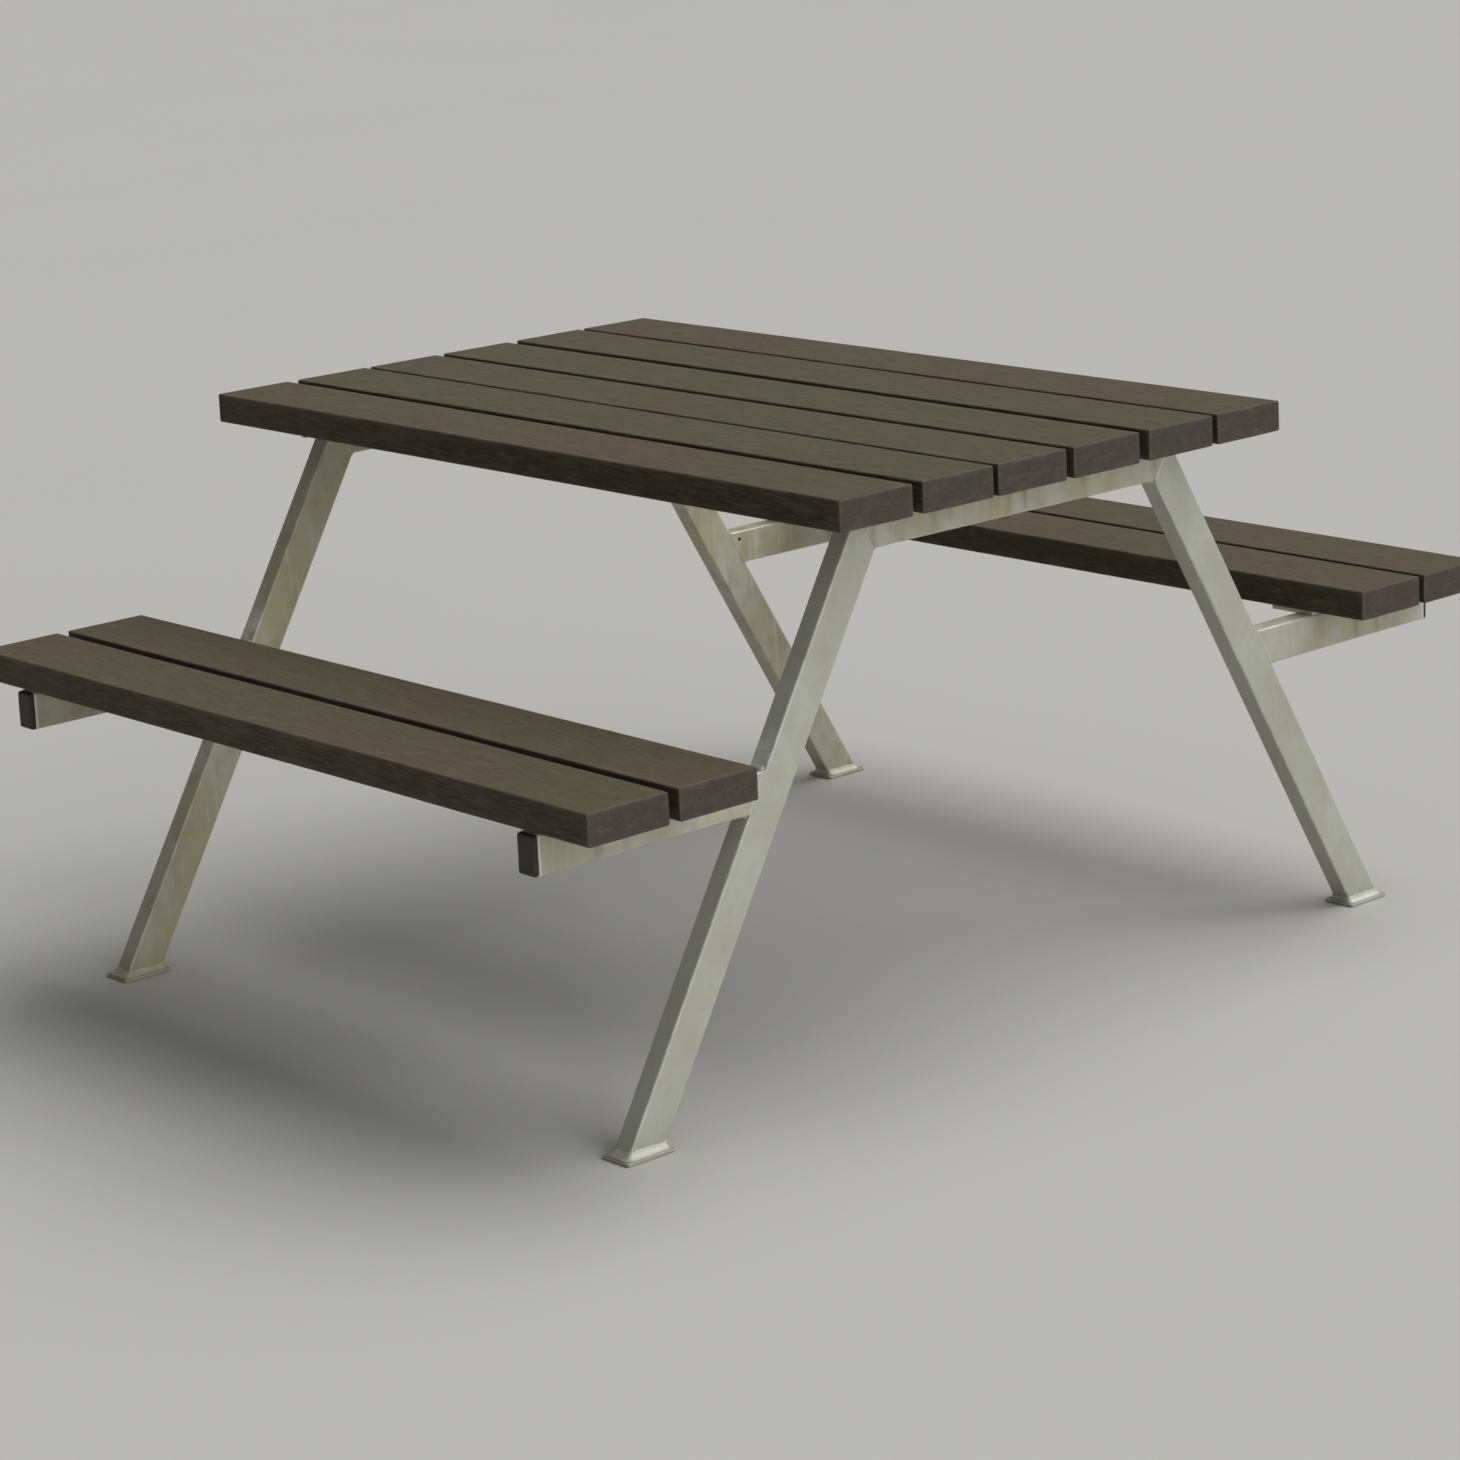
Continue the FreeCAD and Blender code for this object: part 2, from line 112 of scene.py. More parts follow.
def wrapGrid(points, closeRows=False):
    # Faces of a grid whose columns close into a ring; the rows close too when asked.
    rows, columns = points.shape[:2]
    row = np.arange(rows if closeRows else rows - 1)[:, None]
    column = np.arange(columns)[None, :]
    corners = [(row, column), (row, column + 1), (row + 1, column + 1), (row + 1, column)]
    faces = np.stack([(a % rows) * columns + b % columns for a, b in corners], axis=-1)
    return points.reshape(-1, 3), faces.reshape(-1, 4)


def ringOutline(width, depth, radius, spacing, steps=5):
    # A rounded rectangle as a ring of (across, deep) points, with its outward directions.
    angle = np.linspace(0, math.pi / 2, steps + 1)
    arc = np.stack((np.cos(angle), np.sin(angle)), axis=1)
    places, facing = [], []
    for turn, (sideX, sideY) in enumerate(((1, 1), (-1, 1), (-1, -1), (1, -1))):
        swing = (arc[:, ::-1] if turn % 2 else arc) * (sideX, sideY)
        core = np.array((sideX * (width / 2 - radius), sideY * (depth / 2 - radius)))
        corner = core + swing * radius
        run = depth if turn % 2 else width
        flat = run - 2 * radius
        guard = min(flatGuard, flat / 8)
        step = np.linspace(guard, flat - guard, max(2, round(flat / spacing)))[:, None]
        tangent = np.array(((-1, 0), (0, -1), (1, 0), (0, 1))[turn], float)
        places += [corner, corner[-1] + tangent * step]
        facing += [swing, np.repeat(swing[-1:], len(step), axis=0)]
    return np.concatenate(places), np.concatenate(facing)


def buildPiece(name, shells, material):
    # All shells become one mesh: doubled points merged, faces turned outwards, shading smooth.
    points = np.concatenate([shell[0] for shell in shells])
    starts = np.cumsum([0] + [len(shell[0]) for shell in shells])
    faces = np.concatenate([shell[1] + start for shell, start in zip(shells, starts)])
    mesh = bpy.data.meshes.new(name)
    mesh.vertices.add(len(points))
    mesh.vertices.foreach_set("co", points.astype(np.float32).ravel())
    mesh.loops.add(faces.size)
    mesh.loops.foreach_set("vertex_index", faces.astype(np.int32).ravel())
    mesh.polygons.add(len(faces))
    mesh.polygons.foreach_set("loop_start", np.arange(0, faces.size, 4, dtype=np.int32))
    mesh.update(calc_edges=True)
    work = bmesh.new()
    work.from_mesh(mesh)
    bmesh.ops.remove_doubles(work, verts=work.verts, dist=mergeDistance)
    bmesh.ops.recalc_face_normals(work, faces=work.faces)
    work.to_mesh(mesh)
    work.free()
    mesh.shade_smooth()
    mesh.materials.append(material)
    piece = bpy.data.objects.new(name, mesh)
    bpy.context.scene.collection.objects.link(piece)
    return piece


def meshArrays(mesh):
    places = np.empty(len(mesh.vertices) * 3, np.float32)
    mesh.vertices.foreach_get("co", places)
    facing = np.empty(len(mesh.vertices) * 3, np.float32)
    mesh.vertices.foreach_get("normal", facing)
    return places.reshape(-1, 3).astype(float), facing.reshape(-1, 3).astype(float)


def paint(piece, layer, amount):
    # One number for each point of the piece, read by its material.
    attribute = piece.data.attributes.new(layer, "FLOAT", "POINT")
    attribute.data.foreach_set("value", np.broadcast_to(amount, len(piece.data.vertices)).astype(np.float32))


def drill(piece, shells):
    # Takes round plugs out of a piece.
    cutter = buildPiece(piece.name + "_cutter", shells, piece.data.materials[0])
    cut = piece.modifiers.new("holes", "BOOLEAN")
    cut.operation = "DIFFERENCE"
    cut.solver = "EXACT"
    cut.object = cutter
    bpy.context.view_layer.update()
    shaped = piece.evaluated_get(bpy.context.evaluated_depsgraph_get())
    mesh = bpy.data.meshes.new_from_object(shaped)
    piece.modifiers.clear()
    piece.data = mesh
    bpy.data.objects.remove(cutter)


def turnedShell(rows, columns, axis, place, closed=False):
    # Rows of (radius, distance along the axis) turned about the axis through a place.
    axis = Vector(axis)
    turn = np.array(axis.to_track_quat("Z", "Y").to_matrix())
    angle = np.arange(columns) * 2 * math.pi / columns
    rows = np.array(rows, float)
    ring = np.stack((np.cos(angle), np.sin(angle)), axis=1)
    flat = rows[:, None, :1] * ring[None]
    high = np.broadcast_to(rows[:, None, 1:2], (len(rows), columns, 1))
    points = np.concatenate((flat, high), axis=2) @ turn.T + np.array(place)
    return wrapGrid(points, closed)


def standIn(piece, slot, *nodes):
    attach(piece, "root")
    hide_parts(*nodes)


def linearColour(hexValue):
    # sRGB hex to linear light
    parts = [int(hexValue[i:i + 2], 16) / 255 for i in (1, 3, 5)]
    return [part / 12.92 if part <= 0.04045 else ((part + 0.055) / 1.055) ** 2.4 for part in parts] + [1]


def sizeScale(*millimetres):
    # The scale that makes one unit of a pattern this many millimetres long in each direction.
    return [1000 / length for length in millimetres]


def addNode(tree, kind, inputs, output=0, **settings):
    # A socket among the inputs is linked, anything else becomes the input's own value.
    node = tree.nodes.new("ShaderNode" + kind)
    for name, value in settings.items():
        setattr(node, name, value)
    for name, value in inputs.items():
        if isinstance(value, bpy.types.NodeSocket):
            tree.links.new(value, node.inputs[name])
        else:
            node.inputs[name].default_value = value
    return node.outputs[output] if node.outputs else node


def newMaterial(name):
    material = bpy.data.materials.new(name)
    material.use_nodes = True
    material.node_tree.nodes.clear()
    add = partial(addNode, material.node_tree)
    return material, add, add("TexCoord", {}, "Object")


def specks(add, coords, pitch, size, share):
    # Round dots this many millimetres across, in this share of the cells of a scattered lattice.
    gap = add("TexVoronoi", {"Vector": coords, "Scale": 1000 / pitch}, "Distance")
    lot = add("SeparateColor", {"Color": gap.node.outputs["Color"]})
    chosen = add("Math", {0: lot, 1: share}, operation="LESS_THAN")
    dot = add("MapRange", {"Value": gap, "From Min": 0.35 * size / pitch, "From Max": 0.6 * size / pitch,
                           "To Min": 1.0, "To Max": 0.0}, interpolation_type="SMOOTHSTEP")
    return add("Math", {0: dot, 1: chosen}, operation="MULTIPLY")


def layered(add, colour, layers):
    # Each layer is laid over the ones before it, as strongly as its mask says.
    for mask, tint in layers:
        tint = linearColour(tint) if isinstance(tint, str) else tint
        colour = add("Mix", {0: mask, 6: colour, 7: tint}, 2, data_type="RGBA")
    return colour


def recycledPlastic(name, look):
    # Recycled polyolefin board moulded in a trough: waxy and dull, brown and olive blotches drawn
    # out along the board, pale flecks of other plastics and small pits. Where it faces up it is
    # bleached, and made lighter still as painted light from above, which leaves the sides darker.
    # A sawn end is the same plastic without the moulded skin: purplish and swirled.
    material, add, coords = newMaterial(name)
    tone = add("Attribute", {}, "Fac", attribute_name="tone")
    worn = add("Attribute", {}, "Fac", attribute_name="worn")
    topLightAndBleach = add("Attribute", {}, "Fac", attribute_name="topLightAndBleach")
    blotchAt = add("Mapping", {"Vector": coords, "Scale": sizeScale(*look["blotch"])})
    blotch = add("TexNoise", {"Vector": blotchAt, "Scale": 1.0, "Detail": 4.0, "Roughness": 0.5})
    cloudAt = add("Mapping", {"Vector": coords, "Scale": sizeScale(*look["cloud"])})
    cloud = add("TexNoise", {"Vector": cloudAt, "Scale": 1.0, "Detail": 4.0, "Roughness": 0.6})
    # The real grain is about 0.3 mm wide: drawn at 2 mm, the least that shows.
    grainAt = add("Mapping", {"Vector": coords, "Scale": sizeScale(*look["grain"])})
    grain = add("TexNoise", {"Vector": grainAt, "Scale": 1.0, "Detail": 3.0, "Roughness": 0.6})
    brown = add("MapRange", {"Value": add("Math", {0: blotch, 1: tone}), "From Min": 0.42, "From Max": 0.6},
                interpolation_type="SMOOTHSTEP")
    shaded = layered(add, linearColour(look["olive"]), [(brown, look["brown"])])
    # Upward faces: bleached, and lighter still as painted light from above.
    bleachedAndLit = layered(add, linearColour(look["bleachedLitOlive"]), [(brown, look["bleachedLitBrown"])])
    mottle = add("MapRange", {"Value": cloud, "From Min": 0.45, "From Max": 0.72, "To Max": look["mottle"]},
                 interpolation_type="SMOOTHSTEP")
    streak = add("MapRange", {"Value": grain, "From Min": 0.35, "From Max": 0.7, "To Max": look["streak"]},
                 interpolation_type="SMOOTHSTEP")
    dim = add("MapRange", {"Value": grain, "From Min": 0.5, "From Max": 0.3, "To Max": look["streak"]},
              interpolation_type="SMOOTHSTEP")
    pale = specks(add, coords, 21, 1.8, 0.22)  # flecks of 0.5 to 2 mm, drawn at the larger size
    pits = specks(add, coords, 27, look["pit"], 0.2)
    rub = add("MapRange", {"Value": cloud, "From Min": 0.3, "From Max": 0.7, "To Min": 0.05, "To Max": 0.6})
    colour = layered(add, shaded, [
        (add("Math", {0: topLightAndBleach, 1: 0.95}, operation="MULTIPLY"), bleachedAndLit),
        (mottle, look["light"]),
        (streak, look["light"]),
        (dim, look["dark"]),
        (add("Math", {0: worn, 1: rub}, operation="MULTIPLY"), look["rubbed"]),
        (add("Math", {0: pale, 1: 0.75}, operation="MULTIPLY"), "#a9a798"),
        (add("Math", {0: pits, 1: 0.7}, operation="MULTIPLY"), "#161310"),
    ])
    rough = add("MapRange", {"Value": cloud, "From Min": 0.3, "From Max": 0.75,
                             "To Min": 0.56, "To Max": 0.72})
    relief = add("Math", {0: grain, 1: 0.4, 2: cloud}, operation="MULTIPLY_ADD")
    relief = add("Math", {0: pits, 1: -0.8, 2: relief}, operation="MULTIPLY_ADD")
    bump = add("Bump", {"Height": relief, "Strength": 0.5, "Distance": 0.0007})
    surface = add("BsdfPrincipled", {"Base Color": colour, "Roughness": rough, "Normal": bump,
                                     "IOR": 1.5, "Specular IOR Level": 0.22})
    add("OutputMaterial", {"Surface": surface})
    return material


def galvanisedSteel(name, look):
    # Hot-dip galvanised steel after some years outdoors: a dull zinc grey with faint crystals.
    # Weather turns it yellow-green in patches with brownish ones between, and pale runs hang
    # straight down in it; these are laid on by piece, most strongly on the left frame and under the
    # boards, where they also stand in as painted shade. Zinc is thicker and brighter at the welds;
    # the arrises are brighter from thicker zinc and a painted highlight. Undersides get painted shade.
    material, add, coords = newMaterial(name)
    stainAndShade = add("Attribute", {}, "Fac", attribute_name="stainAndShade")
    bright = add("Attribute", {}, "Fac", attribute_name="bright")
    weatherAndShade = add("Attribute", {}, "Fac", attribute_name="weatherAndShade")
    patchAt = add("Mapping", {"Vector": coords, "Scale": sizeScale(110, 90, 130)})
    patch = add("TexNoise", {"Vector": patchAt, "Scale": 1.0, "Detail": 3.0, "Roughness": 0.5})
    cloudAt = add("Mapping", {"Vector": coords, "Scale": sizeScale(34, 34, 46), "Location": (3.1, 7.7, 1.3)})
    cloud = add("TexNoise", {"Vector": cloudAt, "Scale": 1.0, "Detail": 4.0, "Roughness": 0.55})
    runsAt = add("Mapping", {"Vector": coords, "Scale": sizeScale(9, 9, 110)})
    runs = add("TexNoise", {"Vector": runsAt, "Scale": 1.0, "Detail": 2.0})
    fine = add("TexNoise", {"Vector": coords, "Scale": 1000 / 1.6, "Detail": 2.0})
    # Zinc crystals are 5 to 15 mm across.
    crystal = add("TexVoronoi", {"Vector": coords, "Scale": 1000 / 10}, "Color")
    facet = add("SeparateColor", {"Color": crystal})
    yellow = add("MapRange", {"Value": patch, "From Min": 0.38, "From Max": 0.58,
                              "To Min": 0.3, "To Max": 1.0}, interpolation_type="SMOOTHSTEP")
    brownish = add("MapRange", {"Value": cloud, "From Min": 0.48, "From Max": 0.66, "To Max": 0.6},
                   interpolation_type="SMOOTHSTEP")
    hanging = add("MapRange", {"Value": runs, "From Min": 0.56, "From Max": 0.72, "To Max": 0.55},
                  interpolation_type="SMOOTHSTEP")
    hazy = add("MapRange", {"Value": patch, "From Min": 0.35, "From Max": 0.65, "To Max": 0.8},
               interpolation_type="SMOOTHSTEP")
    cloudy = add("MapRange", {"Value": cloud, "From Min": 0.4, "From Max": 0.65, "To Max": 0.45},
                 interpolation_type="SMOOTHSTEP")
    dull = add("MapRange", {"Value": facet, "To Max": 0.1})
    marks = add("MapRange", {"Value": runs, "From Min": 0.3, "From Max": 0.6, "To Min": 0.55, "To Max": 1.0})
    pits = specks(add, coords, 52, 2.6, 0.3)
    colour = layered(add, linearColour(look["clean"]), [
        (hazy, look["haze"]),
        (cloudy, look["cloud"]),
        # Weathering by piece, laid on more strongly on the left frame and under the boards, where it is also
        # painted shade.
        (add("Math", {0: weatherAndShade, 1: yellow}, operation="MULTIPLY"), look["yellow"]),
        (add("Math", {0: weatherAndShade, 1: brownish}, operation="MULTIPLY"), look["brown"]),
        (add("Math", {0: weatherAndShade, 1: hanging}, operation="MULTIPLY"), look["run"]),
        (dull, look["crystal"]),
        # Bright: thicker zinc at the welds and open ends, and a painted highlight along the arrises.
        (add("Math", {0: bright, 1: 0.85}, operation="MULTIPLY"), look["bright"]),
        # Drips and dirt, and painted shade on the undersides.
        (add("Math", {0: stainAndShade, 1: marks}, operation="MULTIPLY"), look["stainAndShade"]),
        (add("Math", {0: pits, 1: 0.6}, operation="MULTIPLY"), look["pit"]),
    ])
    rough = add("MapRange", {"Value": facet, "To Min": 0.46, "To Max": 0.53})
    relief = add("Math", {0: runs, 1: 0.5, 2: cloud}, operation="MULTIPLY_ADD")
    relief = add("Math", {0: fine, 1: 0.25, 2: relief}, operation="MULTIPLY_ADD")
    relief = add("Math", {0: pits, 1: -1.0, 2: relief}, operation="MULTIPLY_ADD")
    bump = add("Bump", {"Height": relief, "Strength": 0.3, "Distance": 0.0005})
    surface = add("BsdfPrincipled", {"Base Color": colour, "Metallic": 0.35, "Roughness": rough,
                                     "Normal": bump})
    add("OutputMaterial", {"Surface": surface})
    return material


def mouldedCapPlastic():
    # Moulded polyethylene, dark grey gone chalky: a fine leather grain with dust in it.
    material, add, coords = newMaterial("moulded_polyethylene")
    cloud = add("TexNoise", {"Vector": coords, "Scale": 1000 / 15, "Detail": 4.0})
    grit = add("TexNoise", {"Vector": coords, "Scale": 1000 / 0.9, "Detail": 2.0})
    faded = add("MapRange", {"Value": cloud, "From Min": 0.35, "From Max": 0.65})
    dust = specks(add, coords, 11, 1.2, 0.2)
    colour = layered(add, linearColour("#35352d"), [
        (faded, "#403e35"),
        (add("Math", {0: dust, 1: 0.4}, operation="MULTIPLY"), "#8f8d7e"),
    ])
    rough = add("MapRange", {"Value": cloud, "From Min": 0.3, "From Max": 0.7,
                             "To Min": 0.52, "To Max": 0.64})
    bump = add("Bump", {"Height": grit, "Strength": 0.4, "Distance": 0.0004})
    surface = add("BsdfPrincipled", {"Base Color": colour, "Roughness": rough, "Normal": bump,
                                     "IOR": 1.5, "Specular IOR Level": 0.3})
    add("OutputMaterial", {"Surface": surface})
    return material


def zincPlate():
    # Electroplated zinc on the screws and washers: bright, a little yellow, dulled by weather.
    material, add, coords = newMaterial("zinc_plate")
    cloud = add("TexNoise", {"Vector": coords, "Scale": 1000 / 6, "Detail": 4.0})
    tarnish = add("MapRange", {"Value": cloud, "From Min": 0.35, "From Max": 0.7})
    colour = layered(add, linearColour("#b9b7ac"), [(tarnish, "#918b74")])
    rough = add("MapRange", {"Value": cloud, "From Min": 0.3, "From Max": 0.75, "To Min": 0.3, "To Max": 0.5})
    surface = add("BsdfPrincipled", {"Base Color": colour, "Metallic": 0.9, "Roughness": rough})
    add("OutputMaterial", {"Surface": surface})
    return material


def studioFloor():
    # A plain pale floor of matt vinyl, a little uneven in gloss.
    material, add, coords = newMaterial("studio_floor")
    cloud = add("TexNoise", {"Vector": coords, "Scale": 1000 / 900})
    rough = add("MapRange", {"Value": cloud, "From Min": 0.3, "From Max": 0.7,
                             "To Min": 0.75, "To Max": 0.85})
    surface = add("BsdfPrincipled", {"Base Color": linearColour("#c4c3bf"), "Roughness": rough,
                                     "Specular IOR Level": 0.2})
    add("OutputMaterial", {"Surface": surface})
    return material


# The bleached colours of both board materials also carry painted light from above.
boardSkin = recycledPlastic("recycled_board_skin", {
    "olive": "#38352a", "brown": "#3b332a", "bleachedLitOlive": "#57543f", "bleachedLitBrown": "#5c5043",
    "light": "#6b6652", "dark": "#2b281f", "rubbed": "#77725f", "mottle": 0.3, "streak": 0.3, "pit": 2.0,
    "blotch": (240, 70, 70), "cloud": (70, 18, 18), "grain": (26, 2, 2),  # millimetres
})
boardEnd = recycledPlastic("recycled_board_sawn_end", {
    "olive": "#45403a", "brown": "#473e3b", "bleachedLitOlive": "#57543f", "bleachedLitBrown": "#5c5043",
    "light": "#5e5652", "dark": "#2c2724", "rubbed": "#6d685b", "mottle": 0.45, "streak": 0.25, "pit": 3.2,
    "blotch": (70, 70, 60), "cloud": (15, 24, 12), "grain": (2, 3, 2),
})
tubeZinc = galvanisedSteel("galvanised_tube", {
    "clean": "#c4c6bc", "haze": "#bbbdb2", "cloud": "#babbac", "yellow": "#b9b58e", "brown": "#ad9f8a",
    "run": "#cfceba", "crystal": "#a2a397", "bright": "#e6e7e0", "stainAndShade": "#5f5a48", "pit": "#504f42",
})
capPlastic = mouldedCapPlastic()
screwZinc = zincPlate()
print("materials made")


board = {
    "arris": 0.0026,  # rounding of the long edges
    "sawnEdge": 0.001,  # rounding of the sawn edges
    "stepAlong": 0.004,
    "stepAcross": 0.0025,
    "sink": 0.0005,  # deepest hollow of the moulded skin
    "wander": 0.0007,  # how far a board strays from straight
    "nick": 0.0012,
    "voids": 3,  # larger holes in each sawn end
    "voidSize": 0.0022,
    "voidDepth": 0.0016,
    "endMargin": (0.015, 0.01),  # the holes keep this far from the edges, across and up
    "waver": 0.0004,  # short bends on top of the wander
    "pilot": (0.0031, 0.0295),  # radius and depth of the screw holes
    "screwPitch": 0.05,
}


def boardPiece(name, node, seed):
    low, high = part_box(node)
    arris, sawn = board["arris"], board["sawnEdge"]
    points, faces, lean = roundBlock(
        low, high, (sawn, arris, arris), (board["stepAlong"], board["stepAcross"], board["stepAcross"]))
    draw = np.random.default_rng(seed)
    edge = 1 - np.abs(lean).max(axis=1)
    # Hollows only go inwards, so that the board stays in its own space.
    hollow = softNoise(points, (0.15, 0.05, 0.05), seed)
    hollow += 0.6 * softNoise(points, (0.035, 0.02, 0.02), seed + 1)
    depth = board["sink"] * (hollow + 1.6) / 3.2
    chips = np.clip(softNoise(points, 0.011, seed + 2) - 0.45, 0, 1) * 2 * board["nick"]
    depth += chips * np.clip(edge * 4, 0, 1)
    ends = np.abs(lean[:, 0]) > 0.9
    marginY, marginZ = board["endMargin"]
    for side in (-1, 1):
        for _ in range(board["voids"]):
            acrossAt = draw.uniform(low.y + marginY, high.y - marginY)
            levelAt = draw.uniform(low.z + marginZ, high.z - marginZ)
            away = np.linalg.norm(points[:, 1:] - (acrossAt, levelAt), axis=1) / board["voidSize"]
            depth += board["voidDepth"] * np.exp(-away ** 2) * (ends & (points[:, 0] * side > 0))
    points = points - lean * depth[:, None]
    along = (points[:, 0] - (low.x + high.x) / 2) / (high.x - low.x) * 2
    points[:, 1] += board["wander"] * draw.uniform(-1, 1) * (along ** 2 - 0.6)
    points[:, 1] += board["waver"] * softNoise(points * (1, 0, 0), 0.13, seed + 3)
    piece = buildPiece(name, [(points, faces)], boardSkin)
    radius, deep = board["pilot"]
    places = [(x, (low.y + high.y) / 2 + step * board["screwPitch"] / 2)
              for x in screwLines for step in (-1, 1)]
    plug = [(0, -0.005), (radius, -0.005), (radius, deep), (0, deep + 0.0012)]
    drill(piece, [turnedShell(plug, 16, (0, 0, 1), (x, y, low.z)) for x, y in places])
    places, facing = meshArrays(piece.data)
    piece.data.materials.append(boardEnd)
    turned = np.empty(len(piece.data.polygons) * 3, np.float32)
    piece.data.polygons.foreach_get("normal", turned)
    sawnFaces = np.abs(turned.reshape(-1, 3)[:, 0]) > 0.75
    piece.data.polygons.foreach_set("material_index", sawnFaces.astype(np.int32))
    inset = np.minimum(places - np.array(low), np.array(high) - places)
    second = np.sort(inset, axis=1)[:, 1]
    paint(piece, "tone", draw.uniform(-0.12, 0.12))
    paint(piece, "worn", np.exp(-second / 0.0022))
    # How much each point faces up: where the bleaching and the painted light from above go.
    paint(piece, "topLightAndBleach", np.clip(facing[:, 2], 0, 1))
    standIn(piece, "recycled_plastic", node)


screwBoxes = {name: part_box(f"top_screws_{name}") for name in frameSides}
screwLines = [(low.x + high.x) / 2 for low, high in screwBoxes.values()]
for number in range(1, 7):
    boardPiece(f"top_board_{number}", f"top_plank_{number}", 10 * number)
for benchName in benchSides:
    for order, rowName in enumerate(("inner", "outer")):
        boardPiece(f"{benchName}_seat_board_{rowName}", f"{benchName}_seat_plank_{rowName}",
                   100 + 50 * (benchName == "back") + 10 * order)
print("boards made")


tube = {
    "wall": 0.003,
    "corner": 0.003,
    "ringStep": 0.005,
    "outlineStep": 0.005,
    "endInset": 0.0005,  # the sawn ends draw in by this much, which shows as a fine line at a joint
    "lump": 0.0003,  # unevenness of the zinc
    "rim": (0.0045, 0.0004),  # width and height of the thick zinc at an open end
    "rimFade": 0.0012,  # where the rim drops to the tube
    "groove": (0.0003, 0.0008),  # depth and half width of the fine groove behind it
    "rimSteps": (0.002, 0.004, 0.005, 0.006, 0.0075),  # extra rings, from the open end
    "ventRadius": 0.003,
    "vent": (0.0185, 0.013),  # the drain hole from the upper root corner of an arm
    "arrisZincAndHighlight": 0.55,  # how much brighter the arrises are: thicker zinc and a painted highlight
    "splash": 0.045,  # how far the bright zinc reaches round the root of an arm
}


def tubeShell(middle, width, startOuter, startInner, endOuter, endInner, seed, openEnd=False):
    # The outline is carried from one cut to the other: every point of the outline runs straight
    # from its place on the first cut to its place on the second. Cuts are given by the side
    # view's (y, z) of the tube's two edges. Then the bore goes back the same way inside.
    ends = [np.array(place, float) for place in (startOuter, startInner, endOuter, endInner)]
    axis = ends[2] - ends[0]
    length = np.linalg.norm(axis)
    axis = axis / length
    inward = np.array((-axis[1], axis[0]))
    inward *= np.sign(inward @ (ends[1] - ends[0]))
    depth = inward @ (ends[1] - ends[0])

    def ringAt(outline, where):
        share = outline[:, 1:] / depth + 0.5
        first = ends[0] + (ends[1] - ends[0]) * share
        last = ends[2] + (ends[3] - ends[2]) * share
        side = first + (last - first) * where
        return np.column_stack((middle + outline[:, 0], side))

    outline, facing = ringOutline(width, depth, tube["corner"], tube["outlineStep"])
    bore = outline * (1 - 2 * tube["wall"] / np.array((width, depth)))
    steps = np.linspace(0, 1, round(length / tube["ringStep"]))
    lip = tube["endInset"] / length
    steps = np.concatenate(([0, lip], steps[1:-1], [1 - lip, 1]))
    if openEnd:
        steps = np.unique(np.concatenate((steps, 1 - np.array(tube["rimSteps"]) / length)))
    rings = np.stack([ringAt(outline, step) for step in steps])
    outward = np.column_stack((facing[:, 0], facing[:, 1:] * inward))
    flat = rings.reshape(-1, 3)
    lump = softNoise(flat, (0.03, 0.03, 0.05), seed)
    lump += 0.5 * softNoise(flat, (0.009, 0.009, 0.03), seed + 1)
    push = (tube["lump"] * (lump - 0.8) / 2).reshape(len(steps), -1)
    push[[0, -1]] -= tube["endInset"]
    if openEnd:
        left = (1 - steps) * length
        wide, high = tube["rim"]
        deep, half = tube["groove"]
        groove = deep * np.exp(-((left - wide - tube["rimFade"]) / half) ** 2)
        swell = high * np.clip((wide - left) / tube["rimFade"], 0, 1) - groove
        push += swell[:, None]
    rings = rings + outward[None] * push[..., None]
    inside = np.stack([ringAt(bore, step) for step in (1, 0.5, 0)])
    return wrapGrid(np.concatenate((rings, inside)), closeRows=True)


def dripMarks(places, lines, top, fall, width):
    # Dark runs below each line, strongest just under the boards and fading as they go down.
    marks = np.zeros(len(places))
    draw = np.random.default_rng(7)
    for line in lines:
        strength = draw.uniform(0.45, 0.9)
        spread = width * draw.uniform(0.7, 1.4)
        drop = np.clip((top - places[:, 2]) / (fall * draw.uniform(0.7, 1.3)), 0, 1)
        marks += strength * np.exp(-((places[:, 1] - line) / spread) ** 2) * (1 - drop ** 2)
    return marks


def boardGaps(nodes):
    boxes = sorted((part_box(node)[0].y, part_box(node)[1].y) for node in nodes)
    return [(first[1] + second[0]) / 2 for first, second in zip(boxes, boxes[1:])]


drips = {"width": 0.0045, "fall": 0.05, "top": (-0.032, -0.004), "seat": (-0.03, 0.012)}
soilAndShade = {"height": 0.03, "strength": 0.25, "under": 0.3}
# How strongly the weathering shows on each piece. It is higher on the left frame and under the boards, making
# them darker and yellower: weathering, and painted shade.
weatherAndShadeByPiece = {"right": {"rail": 0.75, "leg": 0.12, "arm": 0.55}, "left": {"rail": 0.9, "leg": 0.85, "arm": 0.95}}


